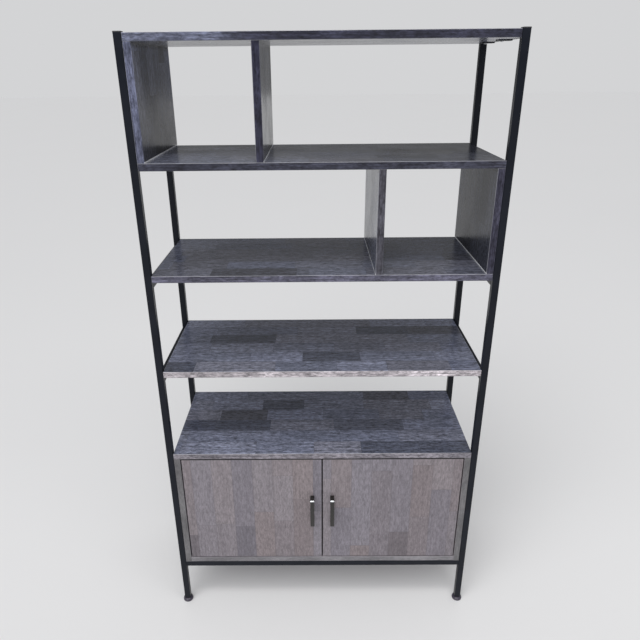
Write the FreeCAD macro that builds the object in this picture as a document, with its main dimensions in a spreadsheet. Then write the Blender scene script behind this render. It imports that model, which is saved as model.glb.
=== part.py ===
import FreeCAD, Part
import Sketcher
import os
import re

# Open bookcase: a frame of black square tube, wooden boards between its two
# side frames, and a low cabinet with a pair of hinged doors.
# X runs across the front from left to right, Y from front to back and Z up.
# The origin is on the floor, at the middle of the overall box. Millimetres.

sizes = {
    # outside of the frame
    "width": 1000,
    "depth": 400,
    # square tube
    "tube": 20,
    "tube_wall": 1.5,
    "tube_round": 2,
    "cap_head": 3,
    "cap_plug": 14,
    # boards
    "board": 20,
    "board_round": 1.5,
    "board_gap": 0.5,
    "board_setback": 1,
    "divider_place": 160,
    # heights, from the floor up: the base, the cabinet and the clear height of each bay
    "base_level": 187,
    "cabinet_height": 456,
    "lower_bay": 279,
    "middle_bay": 284,
    "upper_bay": 289,
    "top_bay": 287,
    # tabs that carry the boards
    "tab_reach": 25,
    "tab_breadth": 30,
    "tab_thick": 3,
    "tab_place": 80,
    # fasteners
    "drill_clear": 0.05,
    "upright_place": 150,
    "upright_head_radius": 4.5,
    "upright_head": 5,
    "upright_shank_radius": 2.5,
    "upright_bite": 35,
    "dowel_radius": 4,
    "dowel_long": 20,
    "dowel_short": 10,
    "tab_head_radius": 4,
    "tab_head": 2.5,
    "tab_shank_radius": 2,
    "tab_bite": 14,
    "base_screw_place": 300,
    "base_bite": 15,
    "leg_screw_drop": 60,
    "leg_head_radius": 5,
    "leg_head": 4,
    "leg_shank_radius": 2.5,
    "leg_bite": 3,
    # cabinet back and inner shelf
    "back_board": 6,
    "back_inset": 25,
    "groove_depth": 5,
    "groove_clear": 0.1,
    "inner_board": 18,
    "shelf_end_gap": 2,
    "shelf_front_inset": 22,
    "shelf_back_gap": 1,
    "peg_radius": 2.5,
    "peg_deep": 10,
    "peg_reach": 9,
    "peg_flange_radius": 4.5,
    "peg_flange": 1.5,
    "peg_front": 100,
    "peg_rear": 69,
    "peg_first": 275,
    "peg_pitch": 32,
    # doors and handles
    "door_gap": 3,
    "handle_place": 33,
    "handle_middle": 420,
    "handle_length": 110,
    "handle_breadth": 13,
    "handle_reach": 28,
    "handle_grip": 7,
    "handle_foot": 14,
    "handle_round": 5,
    "cut_past": 1,
    "handle_soft": 1.2,
    "handle_head_radius": 4,
    "handle_head": 2.5,
    "handle_shank_radius": 2,
    "handle_bite": 10,
    # concealed hinges
    "hinge_place": 90,
    "cup_radius": 17.5,
    "cup_depth": 12.5,
    "cup_wall": 1,
    "cup_inset": 22.5,
    "cup_flange": 1.2,
    "cup_flange_half": 29,
    "cup_screw_rise": 22.5,
    "cup_screw_in": 9.5,
    "cup_flange_out": 15.2,
    "cup_head_radius": 3.5,
    "cup_head": 1.5,
    "cup_shank_radius": 1.75,
    "cup_bite": 10,
    "pivot_in": 22,
    "pivot_deep": 8,
    "pin_radius": 1.5,
    "pin_half": 16.6,
    "pin_clear": 0.05,
    "eye_radius": 3,
    "arm_thick": 2.5,
    "arm_half": 6,
    "arm_reach": 36.25,
    "arm_bridge": 14.75,
    "arm_end": 62,
    "plate_rib": 6,
    "plate_wing": 2,
    "plate_front": 20,
    "plate_end": 58,
    "plate_wing_front": 30,
    "plate_wing_end": 44,
    "plate_half": 24,
    "plate_screw_rise": 16,
    "plate_head_radius": 3.8,
    "plate_head": 2,
    "plate_shank_radius": 2,
    "plate_bite": 12,
    # magnetic catch
    "catch_half": 30,
    "catch_deep": 14,
    "catch_tall": 12,
    "catch_gap": 0.3,
    "magnet_near": 5,
    "magnet_far": 20,
    "magnet_deep": 7,
    "magnet_inset": 3,
    "strike_near": 4,
    "strike_far": 21,
    "strike_thick": 1.2,
    "strike_tall": 14,
    "strike_drop": 1,
    "strike_pin_radius": 1.5,
    "strike_pin": 6,
    "catch_screw_place": 26,
    "catch_head_radius": 3,
    "catch_head": 1.5,
    "catch_shank_radius": 1.5,
    "catch_bite": 10,
    # levelling feet
    "foot_radius": 17,
    "foot_height": 12,
    "foot_dome": 6,
    "foot_edge": 1.5,
    "foot_gap": 0.3,
    "insert_flange": 2,
    "insert_plug": 25,
    "insert_clear": 0.1,
    "stud_radius": 4,
    "stud_low": 4,
    "stud_length": 44,
    "stud_clear": 0.05,
}
peg_rows = 9
shelf_row = 4

doc = FreeCAD.newDocument("bookcase")
sheet = doc.addObject("Spreadsheet::Sheet", "sizes")
for row, (alias, value) in enumerate(sizes.items(), start=1):
    sheet.set(f"A{row}", alias)
    sheet.set(f"B{row}", str(value))
    sheet.setAlias(f"B{row}", alias)
doc.recompute()

nodes = []

# Upper faces of the boards and of the frame, each from the one below it.
levels = {"cabinet_level": "(base_level + cabinet_height)"}
levels["lower_level"] = f"({levels['cabinet_level']} + lower_bay + board)"
levels["middle_level"] = f"({levels['lower_level']} + middle_bay + board)"
levels["upper_level"] = f"({levels['middle_level']} + upper_bay + board)"
levels["frame_top"] = f"({levels['upper_level']} + top_bay + board)"

# Places that several pieces share, as rules on the sheet's cells.
leg_inside = "(width / 2 - tube)"
board_end = "(width / 2 - tube - board_gap)"
case_inside = "(width / 2 - tube - board_gap - board)"
front = "((handle_reach - board_setback - foot_radius + tube / 2 - depth) / 2)"
back = f"({front} + depth)"
middle = f"({front} + depth / 2)"
board_front = f"({front} + board_setback)"
board_back = f"({back} - board_setback)"
leg_low = "(foot_height + foot_gap + insert_flange)"
case_low = "(base_level + board)"
case_high = "(cabinet_level - board)"
door_back = f"({board_front} + inner_board)"
door_low = f"({case_low} + door_gap)"
door_high = f"({case_high} - door_gap)"
back_face = f"({back} - back_inset - back_board)"


def bound(rule):
    """Turn each level's name in a rule into its own rule, and each size's name into its cell."""
    rule = re.sub(r"[a-z_]+", lambda word: levels.get(word.group(), word.group()), rule)
    return re.sub(r"[a-z_]+", lambda word: "sizes." + word.group(), rule)


def bind(thing, **rules):
    for prop, rule in rules.items():
        thing.setExpression(prop, bound(rule))


def place(thing, x, y, z):
    for axis, rule in zip("xyz", (x, y, z)):
        thing.setExpression(f"Placement.Base.{axis}", bound(rule))


def node(thing, label):
    """Name a finished sub-part: its label is also its file's name."""
    thing.Label = label
    nodes.append(thing)
    return thing


def mirrored(side, near, far):
    """The stretch of X from near to far of the middle, on one side."""
    if side == "left":
        return f"-({far})", f"-({near})"
    return near, far


def at(side, distance):
    """The X of a point that far from the middle, on one side."""
    return f"-({distance})" if side == "left" else distance


def block(x, y, z):
    """A box between two rules on each axis."""
    box = doc.addObject("Part::Box", "block")
    bind(box, Length=f"{x[1]} - ({x[0]})", Width=f"{y[1]} - ({y[0]})", Height=f"{z[1]} - ({z[0]})")
    place(box, x[0], y[0], z[0])
    return box


turns = {
    "x": FreeCAD.Rotation(FreeCAD.Vector(0, 1, 0), 90),
    "y": FreeCAD.Rotation(FreeCAD.Vector(1, 0, 0), -90),
    "z": FreeCAD.Rotation(),
}


def rod(axis, start, radius, length):
    """A round bar from its low end along an axis."""
    bar = doc.addObject("Part::Cylinder", "rod")
    bind(bar, Radius=radius, Height=length)
    bar.Placement = FreeCAD.Placement(FreeCAD.Vector(), turns[axis])
    place(bar, *start)
    return bar


def fuse(parts):
    joined = doc.addObject("Part::MultiFuse", "fuse")
    joined.Shapes = parts
    return joined


def group(parts):
    loose = doc.addObject("Part::Compound", "group")
    loose.Links = parts
    return loose


def cut(base, tools):
    """The base less all its tools."""
    if not tools:
        return base
    rest = doc.addObject("Part::Cut", "cut")
    rest.Base = base
    rest.Tool = tools[0] if len(tools) == 1 else group(tools)
    return rest


def screw(axis, start, head, shank, head_first=True, clear=None):
    """A head and a shank in line. A name for clear makes the hole that they need."""
    extra = f" + {clear}" if clear else ""
    first, second = (head, shank) if head_first else (shank, head)
    step = dict(zip("xyz", start))
    lead = rod(axis, start, first[0] + extra, first[1])
    step[axis] = f"{step[axis]} + {first[1]}"
    tail = rod(axis, (step["x"], step["y"], step["z"]), second[0] + extra, second[1])
    return fuse([lead, tail])


def new_body():
    return doc.addObject("PartDesign::Body", "body")


def plane(body, role):
    return next(item for item in body.Origin.OriginFeatures if item.Role == role)


def rectangle(sketch, corner, breadth, height):
    """Four sides, from a corner at the sketch's origin or two rules away from it."""
    ends = [(0, 0), (40, 0), (40, 30), (0, 30)]
    shift = 0 if corner is None else 5
    points = [FreeCAD.Vector(u + shift, v + shift, 0) for u, v in ends]
    first = sketch.GeometryCount
    for here, there in zip(points, points[1:] + points[:1]):
        sketch.addGeometry(Part.LineSegment(here, there), False)
    for side in range(4):
        sketch.addConstraint(Sketcher.Constraint("Coincident", first + side, 2, first + (side + 1) % 4, 1))
        sketch.addConstraint(Sketcher.Constraint("Vertical" if side % 2 else "Horizontal", first + side))
    if corner is None:
        sketch.addConstraint(Sketcher.Constraint("Coincident", first, 1, -1, 1))
    else:
        size(sketch, "DistanceX", (-1, 1, first, 1), corner[0])
        size(sketch, "DistanceY", (-1, 1, first, 1), corner[1])
    size(sketch, "DistanceX", (first, 1, first, 2), breadth)
    size(sketch, "DistanceY", (first + 1, 1, first + 1, 2), height)


def size(sketch, kind, places, rule):
    """A driving dimension bound to a rule."""
    index = sketch.addConstraint(Sketcher.Constraint(kind, *places, 10.0))
    sketch.setExpression(f"Constraints[{index}]", bound(rule))


def padded(body, draw, length):
    """Pad a sketch drawn on the body's XY plane."""
    sketch = body.newObject("Sketcher::SketchObject", "sketch")
    sketch.AttachmentSupport = [(plane(body, "XY_Plane"), "")]
    sketch.MapMode = "FlatFace"
    draw(sketch)
    pad = body.newObject("PartDesign::Pad", "pad")
    pad.Profile = sketch
    bind(pad, Length=length)
    doc.recompute()
    return pad


def rounded(body, base, wanted, radius):
    """Round the edges of a feature that a test picks."""
    names = [f"Edge{i}" for i, edge in enumerate(base.Shape.Edges, start=1) if wanted(edge)]
    soft = body.newObject("PartDesign::Fillet", "fillet")
    soft.Base = (base, names)
    bind(soft, Radius=radius)
    return soft


def along(edge, axis):
    """True for a straight edge that runs along an axis."""
    if not isinstance(edge.Curve, Part.Line):
        return False
    return abs(getattr(edge.tangentAt(edge.FirstParameter), axis)) > 0.99


def board(x, y, z, soft_edges="xyz"):
    """A board between rules, with its arrises rounded along the named axes."""
    body = new_body()
    breadth = f"{x[1]} - ({x[0]})"
    run = f"{y[1]} - ({y[0]})"
    pad = padded(body, lambda sketch: rectangle(sketch, None, breadth, run), f"{z[1]} - ({z[0]})")
    rounded(body, pad, lambda edge: any(along(edge, axis) for axis in soft_edges), "board_round")
    place(body, x[0], y[0], z[0])
    return body


def tube(axis, corner, length):
    """A square tube from the low corner of its low end."""
    body = new_body()

    def profile(sketch):
        rectangle(sketch, None, "tube", "tube")
        rectangle(sketch, ("tube_wall", "tube_wall"), "tube - 2 * tube_wall", "tube - 2 * tube_wall")

    pad = padded(body, profile, length)

    def outer(edge):
        across = edge.CenterOfMass.x
        return along(edge, "z") and min(abs(across), abs(across - sizes["tube"])) < 1e-6

    rounded(body, pad, outer, "tube_round")
    body.Placement = FreeCAD.Placement(FreeCAD.Vector(), turns[axis])
    lift = "" if axis == "z" else " + tube"
    place(body, corner[0], corner[1], corner[2] + lift)
    return body


# --- Holes that the fasteners need, gathered for each sub-part ---

holes = {}


def hole(tool, *labels):
    for label in labels:
        holes.setdefault(label, []).append(tool)


def finish(base, label):
    """Cut a sub-part's gathered holes and name it."""
    return node(cut(base, holes.get(label, [])), label)


sides = ("left", "right")
shelves = ("upper", "middle", "lower")
# Board ends with the rail beside them; under the others the rail is below the board.
rails_beside = (("top_board", "left"), ("top_board", "right"), ("shelf_upper", "left"))


# --- Uprights: where they stand, what is above and what is below ---

upright_centres = {
    "side_panel_left": at("left", f"{board_end} - board / 2"),
    "divider_left": at("left", "divider_place"),
    "divider_right": at("right", "divider_place"),
    "side_panel_right": at("right", f"({board_end} - board / 2)"),
}
upright_seats = {
    "side_panel_left": ("shelf_upper", "upper_level", "top_board", "frame_top"),
    "divider_left": ("shelf_upper", "upper_level", "top_board", "frame_top"),
    "divider_right": ("shelf_middle", "middle_level", "shelf_upper", "upper_level"),
    "side_panel_right": ("shelf_middle", "middle_level", "shelf_upper", "upper_level"),
}


def upright_fasteners():
    """Screws up through the board below, dowels into the board above."""
    screws, dowels = [], []
    head = ("upright_head_radius", "upright_head")
    shank = ("upright_shank_radius", "board - upright_head + upright_bite")
    for label, (below, low, above, high) in upright_seats.items():
        x = upright_centres[label]
        for sign in ("-", "+"):
            y = f"{middle} {sign} upright_place"
            start = (x, y, f"{low} - board")
            screws.append(screw("z", start, head, shank))
            hole(screw("z", start, head, shank, clear="drill_clear"), below, label)
            start = (x, y, f"{high} - board - dowel_long")
            length = "dowel_long + dowel_short"
            dowels.append(rod("z", start, "dowel_radius", length))
            hole(rod("z", start, "dowel_radius + drill_clear", length), above, label)
    return screws, dowels


def cabinet_dowels():
    """Upright dowels under the cabinet's top and level ones at its floor."""
    dowels = []
    length = "dowel_long + dowel_short"
    for side in sides:
        panel = f"cabinet_side_{side}"
        x = at(side, f"{board_end} - board / 2")
        low, _ = mirrored(side, f"{case_inside} - dowel_long", f"{case_inside} + dowel_short")
        for shift in ("- upright_place", "", "+ upright_place"):
            y = f"{middle} {shift}"
            start = (x, y, f"{case_high} - dowel_long")
            dowels.append(rod("z", start, "dowel_radius", length))
            hole(rod("z", start, "dowel_radius + drill_clear", length), panel, "cabinet_top")
            start = (low, y, "base_level + board / 2")
            dowels.append(rod("x", start, "dowel_radius", length))
            hole(rod("x", start, "dowel_radius + drill_clear", length), panel, "cabinet_bottom")
    return dowels


def cabinet_screws():
    """Screws up through the base rails, and out through the sides into the legs."""
    base_screws, leg_screws = [], []
    head = ("tab_head_radius", "tab_head")
    shank = ("tab_shank_radius", "tube + base_bite")
    for sign in ("-", "+"):
        for y in (f"{front} + tube / 2", f"{back} - tube / 2"):
            start = (f"{sign}base_screw_place", y, "base_level - tube - tab_head")
            base_screws.append(screw("z", start, head, shank))
            hole(screw("z", start, head, shank, clear="drill_clear"), "base_cross_rails", "cabinet_bottom")
    head = ("leg_head_radius", "leg_head")
    shank = ("leg_shank_radius", "board - leg_head + board_gap + tube_wall + leg_bite")
    for side in sides:
        reach = f"{leg_inside} + tube_wall + leg_bite"
        low, _ = mirrored(side, case_inside, reach)
        for end, y in (("front", f"{front} + tube / 2"), ("rear", f"{back} - tube / 2")):
            start = (low, y, "cabinet_level - leg_screw_drop")
            first = side == "right"
            leg_screws.append(screw("x", start, head, shank, first))
            tool = screw("x", start, head, shank, first, "drill_clear")
            hole(tool, f"cabinet_side_{side}", f"leg_{end}_{side}")
    return base_screws, leg_screws


def tabs_and_screws():
    """Flat tabs on the rails under the boards' ends that no side panel carries."""
    ends = (
        ("top_board", "frame_top", "right"),
        ("shelf_upper", "upper_level", "left"),
        ("shelf_middle", "middle_level", "left"),
        ("shelf_middle", "middle_level", "right"),
        ("shelf_lower", "lower_level", "left"),
        ("shelf_lower", "lower_level", "right"),
    )
    tabs, screws = [], []
    head = ("tab_head_radius", "tab_head")
    shank = ("tab_shank_radius", "tab_thick + tab_bite")
    for label, level, side in ends:
        root = f"{leg_inside} + tube / 2" if (label, side) in rails_beside else leg_inside
        reach = mirrored(side, f"{leg_inside} - tab_reach", root)
        x = at(side, f"{leg_inside} - tab_reach / 2")
        for sign in ("-", "+"):
            y = f"{middle} {sign} tab_place"
            run = (f"{y} - tab_breadth / 2", f"{y} + tab_breadth / 2")
            start = (x, y, f"{level} - board - tab_thick - tab_head")
            tool = screw("z", start, head, shank, clear="drill_clear")
            hole(tool, label)
            flat = block(reach, run, (f"{level} - board - tab_thick", f"{level} - board"))
            tabs.append(cut(flat, [tool]))
            screws.append(screw("z", start, head, shank))
    return tabs, screws


# --- Hinges: X is measured inwards from the cabinet side, Y from the door's back ---

hinge_heights = (f"{door_low} + hinge_place", f"{door_high} - hinge_place")


def inwards(side, near, far):
    return mirrored(side, f"{case_inside} - ({far})", f"{case_inside} - ({near})")


def inward_point(side, distance):
    return at(side, f"({case_inside} - ({distance}))")


def pin_hole(side, z, reach):
    start = (inward_point(side, "pivot_in"), f"{door_back} - pivot_deep", f"{z} - {reach}")
    return rod("z", start, "pin_radius + pin_clear", f"2 * {reach}")


def hinge_arm(side, z):
    """A hooked arm from its plate round the door's edge to the pin."""
    tall = (f"{z} - arm_half", f"{z} + arm_half")
    pivot = (inward_point(side, "pivot_in"), f"{door_back} - pivot_deep")
    eye = rod("z", (*pivot, tall[0]), "eye_radius", "2 * arm_half")
    neck_y = (f"{pivot[1]} - arm_thick / 2", f"{pivot[1]} + arm_thick / 2")
    neck = block(inwards(side, "pivot_in", "arm_reach"), neck_y, tall)
    bridge_back = f"{door_back} + arm_bridge + arm_thick"
    riser = block(inwards(side, "arm_reach - arm_thick", "arm_reach"), (neck_y[0], bridge_back), tall)
    bridge_y = (f"{door_back} + arm_bridge", bridge_back)
    bridge = block(inwards(side, "plate_rib", "arm_reach"), bridge_y, tall)
    bar_y = (bridge_y[0], f"{door_back} + arm_end")
    bar = block(inwards(side, "plate_rib", "plate_rib + arm_thick"), bar_y, tall)
    return cut(fuse([eye, neck, riser, bridge, bar]), [pin_hole(side, z, "arm_half")])


def hinge_plate(side, z, screw_holes):
    rib_y = (f"{door_back} + plate_front", f"{door_back} + plate_end")
    rib = block(inwards(side, "0", "plate_rib"), rib_y, (f"{z} - arm_half", f"{z} + arm_half"))
    wing_y = (f"{door_back} + plate_wing_front", f"{door_back} + plate_wing_end")
    wing_z = (f"{z} - plate_half", f"{z} + plate_half")
    wing = block(inwards(side, "0", "plate_wing"), wing_y, wing_z)
    return cut(fuse([rib, wing]), screw_holes)


def hinge_cup(side, z, screw_holes):
    """A round cup with a flange on the door's back, and the pin riveted across it."""
    centre = inward_point(side, "door_gap + cup_inset")
    wall = rod("y", (centre, f"{door_back} - cup_depth", z), "cup_radius", "cup_depth")
    x = inwards(side, "door_gap + cup_inset - cup_screw_in", "door_gap + cup_inset + cup_flange_out")
    flange_y = (f"{door_back}", f"{door_back} + cup_flange")
    flange = block(x, flange_y, (f"{z} - cup_flange_half", f"{z} + cup_flange_half"))
    start = (centre, f"{door_back} - cup_depth + cup_wall", z)
    room = rod("y", start, "cup_radius - cup_wall", "cup_depth + cup_flange")
    pivot = (inward_point(side, "pivot_in"), f"{door_back} - pivot_deep", f"{z} - pin_half")
    pin = rod("z", pivot, "pin_radius", "2 * pin_half")
    seat = rod("z", pivot, "pin_radius", "2 * pin_half")
    return [cut(fuse([wall, flange]), [room, seat] + screw_holes), pin]


def hinges():
    """All hinge pieces and their screws, with the holes that they need."""
    made = {"arms": [], "plates": [], "plate_screws": []}
    for side in sides:
        cups, cup_screws = [], []
        for z in hinge_heights:
            centre = inward_point(side, "door_gap + cup_inset")
            pocket = rod("y", (centre, f"{door_back} - cup_depth", z), "cup_radius + drill_clear", "cup_depth")
            hole(pocket, f"door_{side}")
            x = inward_point(side, "door_gap + cup_inset + cup_screw_in")
            cup_holes, plate_holes = [], []
            for sign in ("-", "+"):
                start = (x, f"{door_back} + cup_flange - cup_bite", f"{z} {sign} cup_screw_rise")
                shank = ("cup_shank_radius", "cup_bite")
                head = ("cup_head_radius", "cup_head")
                cup_screws.append(screw("y", start, head, shank, False))
                tool = screw("y", start, head, shank, False, "drill_clear")
                cup_holes.append(tool)
                hole(tool, f"door_{side}")
                ends = inwards(side, "-plate_bite", "plate_wing + plate_head")
                wing_middle = f"{door_back} + (plate_wing_front + plate_wing_end) / 2"
                start = (ends[0], wing_middle, f"{z} {sign} plate_screw_rise")
                shank = ("plate_shank_radius", "plate_bite + plate_wing")
                head = ("plate_head_radius", "plate_head")
                first = side == "right"
                made["plate_screws"].append(screw("x", start, head, shank, first))
                tool = screw("x", start, head, shank, first, "drill_clear")
                plate_holes.append(tool)
                hole(tool, f"cabinet_side_{side}")
            made["arms"].append(hinge_arm(side, z))
            made["plates"].append(hinge_plate(side, z, plate_holes))
            cups += hinge_cup(side, z, cup_holes)
        node(group(cups), f"hinge_cups_{side}")
        node(group(cup_screws), f"hinge_cup_screws_{side}")
    node(group(made["arms"]), "hinge_arms")
    node(group(made["plates"]), "hinge_plates")
    node(group(made["plate_screws"]), "hinge_plate_screws")


# --- Handles ---

def handle(side):
    """A flat bar bent square, with its outer bends rounded."""
    body = new_body()
    bar = body.newObject("PartDesign::AdditiveBox", "bar")
    bind(bar, Length="handle_breadth", Width="handle_reach", Height="handle_length")
    gap = body.newObject("PartDesign::SubtractiveBox", "finger_gap")
    bind(gap, Length="handle_breadth + 2 * cut_past", Width="handle_reach - handle_grip")
    bind(gap, Height="handle_length - 2 * handle_foot")
    place(gap, "-cut_past", "handle_grip", "handle_foot")
    doc.recompute()

    def bend(edge):
        return along(edge, "x") and edge.CenterOfMass.y < sizes["handle_grip"] + 1e-6

    bends = rounded(body, gap, bend, "handle_round")
    doc.recompute()

    def rim(edge):
        at_side = min(edge.BoundBox.XMax, sizes["handle_breadth"] - edge.BoundBox.XMin) < 1e-6
        return at_side and edge.BoundBox.YMin < sizes["handle_reach"] - 1e-3

    rounded(body, bends, rim, "handle_soft")
    x = mirrored(side, "handle_place - handle_breadth / 2", "handle_place + handle_breadth / 2")[0]
    place(body, x, f"{board_front} - handle_reach", "handle_middle - handle_length / 2")
    return body


def handle_and_screws(side):
    screws, tools = [], []
    x = at(side, "handle_place")
    head = ("handle_head_radius", "handle_head")
    shank = ("handle_shank_radius", "inner_board + handle_bite")
    for sign in ("-", "+"):
        z = f"handle_middle {sign} (handle_length - handle_foot) / 2"
        start = (x, f"{board_front} - handle_bite", z)
        screws.append(screw("y", start, head, shank, False))
        tools.append(screw("y", start, head, shank, False, "drill_clear"))
    for tool in tools:
        hole(tool, f"door_{side}", f"handle_{side}")
    finish(handle(side), f"handle_{side}")
    node(group(screws), f"handle_screws_{side}")


# --- Magnetic catch ---

def catch():
    y_front = f"{door_back} + strike_thick + catch_gap"
    run = (y_front, f"{y_front} + catch_deep")
    tall = (f"{case_high} - catch_tall", case_high)
    housing = block(("-catch_half", "catch_half"), run, tall)
    magnet_z = (f"{case_high} - catch_tall + magnet_inset", f"{case_high} - magnet_inset")
    magnets, pockets, screws, tools = [], [], [], []
    for side in sides:
        x = mirrored(side, "magnet_near", "magnet_far")
        magnets.append(block(x, (y_front, f"{y_front} + magnet_deep"), magnet_z))
        pockets.append(block(x, (y_front, f"{y_front} + magnet_deep"), magnet_z))
        spot = (at(side, "catch_screw_place"), f"{y_front} + catch_deep / 2")
        start = (*spot, f"{case_high} - catch_tall - catch_head")
        head = ("catch_head_radius", "catch_head")
        shank = ("catch_shank_radius", "catch_tall + catch_bite")
        screws.append(screw("z", start, head, shank))
        tools.append(screw("z", start, head, shank, clear="drill_clear"))
        x = mirrored(side, "strike_near", "strike_far")
        z_high = f"{door_high} - strike_drop"
        plate = block(x, (door_back, f"{door_back} + strike_thick"), (f"{z_high} - strike_tall", z_high))
        start = (at(side, "(strike_near + strike_far) / 2"), f"{door_back} - strike_pin", f"{z_high} - strike_tall / 2")
        pin = rod("y", start, "strike_pin_radius", "strike_pin + strike_thick / 2")
        hole(rod("y", start, "strike_pin_radius + drill_clear", "strike_pin"), f"door_{side}")
        node(fuse([plate, pin]), f"door_strike_{side}")
    hole(group(tools), "cabinet_top")
    node(cut(housing, pockets + tools), "catch_housing")
    node(group(magnets), "catch_magnets")
    node(group(screws), "catch_screws")


# --- Inner shelf on pegs ---

def shelf_pegs():
    pegs = []
    for side in sides:
        low = inwards(side, "-peg_deep", "peg_reach")[0]
        bore = inwards(side, "-peg_deep", "0")[0]
        for y in (f"{board_front} + peg_front", f"{back_face} - peg_rear"):
            for row in range(peg_rows):
                z = f"peg_first + {row} * peg_pitch"
                tool = rod("x", (bore, y, z), "peg_radius + drill_clear", "peg_deep")
                hole(tool, f"cabinet_side_{side}")
            z = f"peg_first + {shelf_row} * peg_pitch"
            stem = rod("x", (low, y, z), "peg_radius", "peg_deep + peg_reach")
            collar = rod("x", (inwards(side, "0", "peg_flange")[0], y, z), "peg_flange_radius", "peg_flange")
            pegs.append(fuse([stem, collar]))
    node(group(pegs), "shelf_pegs")


def inner_shelf():
    low = f"peg_first + {shelf_row} * peg_pitch + peg_radius"
    x = (f"-({case_inside} - shelf_end_gap)", f"({case_inside} - shelf_end_gap)")
    y = (f"{door_back} + shelf_front_inset", f"{back_face} - shelf_back_gap")
    node(board(x, y, (low, f"{low} + inner_board")), "cabinet_shelf")


# --- Feet ---

leg_corners = {}
for side in sides:
    leg_x = mirrored(side, leg_inside, "width / 2")[0]
    leg_corners[f"front_{side}"] = (leg_x, front)
    leg_corners[f"rear_{side}"] = (leg_x, f"{back} - tube")


def foot(name, corner):
    """A domed foot, and the stud in it that screws into the leg."""
    body = new_body()

    def disc(sketch):
        sketch.addGeometry(Part.Circle(FreeCAD.Vector(), FreeCAD.Vector(0, 0, 1), 10), False)
        sketch.addConstraint(Sketcher.Constraint("Coincident", 0, 3, -1, 1))
        size(sketch, "Radius", (0,), "foot_radius")

    pad = padded(body, disc, "foot_height")
    top = rounded(body, pad, lambda edge: edge.BoundBox.ZMin > 1, "foot_dome")
    doc.recompute()

    def rim(edge):
        return edge.BoundBox.ZMax < 1e-6

    rounded(body, top, rim, "foot_edge")
    centre = (f"{corner[0]} + tube / 2", f"{corner[1]} + tube / 2")
    place(body, *centre, "0")
    bore = rod("z", (*centre, "stud_low"), "stud_radius + drill_clear", "foot_height")
    node(cut(body, [bore]), f"foot_{name}")
    node(rod("z", (*centre, "stud_low"), "stud_radius", "stud_length"), f"foot_stud_{name}")


def leg_ends():
    """Caps on the legs' tops and threaded inserts in their bottoms."""
    caps, inserts = [], []
    for corner in leg_corners.values():
        x, y = corner
        outer_x, outer_y = (x, f"{x} + tube"), (y, f"{y} + tube")
        gap = "(tube_wall + insert_clear)"
        inner_x = (f"{x} + {gap}", f"{x} + tube - {gap}")
        inner_y = (f"{y} + {gap}", f"{y} + tube - {gap}")
        head = block(outer_x, outer_y, ("frame_top", "frame_top + cap_head"))
        plug = block(inner_x, inner_y, ("frame_top - cap_plug", "frame_top"))
        caps.append(fuse([head, plug]))
        low = "foot_height + foot_gap"
        flange = block(outer_x, outer_y, (low, leg_low))
        plug = block(inner_x, inner_y, (leg_low, f"{leg_low} + insert_plug"))
        start = (f"{x} + tube / 2", f"{y} + tube / 2", low)
        thread = rod("z", start, "stud_radius + stud_clear", "insert_flange + insert_plug")
        inserts.append(cut(fuse([flange, plug]), [thread]))
    node(group(caps), "leg_caps")
    node(group(inserts), "leg_inserts")


# --- Build ---

screws, dowels = upright_fasteners()
dowels += cabinet_dowels()
base_screws, leg_screws = cabinet_screws()
tabs, tab_screws = tabs_and_screws()
node(group(screws), "upright_screws")
node(group(dowels), "dowels")
node(group(base_screws), "cabinet_base_screws")
node(group(leg_screws), "cabinet_leg_screws")
node(group(tabs), "shelf_tabs")
node(group(tab_screws), "shelf_tab_screws")
hinges()
catch()
shelf_pegs()
inner_shelf()

for name, corner in leg_corners.items():
    finish(tube("z", (*corner, leg_low), f"frame_top - {leg_low}"), f"leg_{name}")
    foot(name, corner)
leg_ends()

rails = {"top": ("top_board", "frame_top - board"), "base": ("cabinet_bottom", "base_level")}
for name in shelves:
    rails[name] = (f"shelf_{name}", f"{name}_level - board")
for name, (label, under) in rails.items():
    pair = []
    for side in sides:
        x = mirrored(side, leg_inside, "width / 2")[0]
        z = under if (label, side) in rails_beside else f"{under} - tube"
        pair.append(tube("y", (x, f"{front} + tube", z), "depth - 2 * tube"))
    node(group(pair), f"{name}_side_rails")

cross = []
for y in (front, f"{back} - tube"):
    cross.append(tube("x", (f"-{leg_inside}", y, "base_level - tube"), f"2 * {leg_inside}"))
finish(group(cross), "base_cross_rails")

across = (f"-{board_end}", board_end)
through = (board_front, board_back)
finish(board(across, through, ("frame_top - board", "frame_top")), "top_board")
for name in shelves:
    level = f"{name}_level"
    finish(board(across, through, (f"{level} - board", level)), f"shelf_{name}")
for label, (_, low, _, high) in upright_seats.items():
    x = upright_centres[label]
    stretch = (f"{x} - board / 2", f"{x} + board / 2")
    finish(board(stretch, through, (low, f"{high} - board"), "z"), label)

groove_x = f"{case_inside} + groove_depth"
groove_z = (f"{case_low} - groove_depth", f"{case_high} + groove_depth")
panel_y = (back_face, f"{back_face} + back_board")
node(block((f"-({groove_x})", groove_x), panel_y, groove_z), "cabinet_back")
groove = block(
    (f"-({groove_x} + groove_clear)", f"{groove_x} + groove_clear"),
    (f"{panel_y[0]} - groove_clear", f"{panel_y[1]} + groove_clear"),
    (f"{groove_z[0]} - groove_clear", f"{groove_z[1]} + groove_clear"),
)
hole(groove, "cabinet_top", "cabinet_bottom", "cabinet_side_left", "cabinet_side_right")
finish(board(across, through, (case_high, "cabinet_level")), "cabinet_top")
finish(board((f"-{case_inside}", case_inside), through, ("base_level", case_low), "x"), "cabinet_bottom")
for side in sides:
    stretch = mirrored(side, case_inside, board_end)
    finish(board(stretch, through, ("base_level", case_high), "z"), f"cabinet_side_{side}")
    handle_and_screws(side)
    stretch = mirrored(side, "door_gap / 2", f"{case_inside} - door_gap")
    finish(board(stretch, (board_front, door_back), (door_low, door_high)), f"door_{side}")

doc.recompute()

# --- Check and write ---

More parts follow.
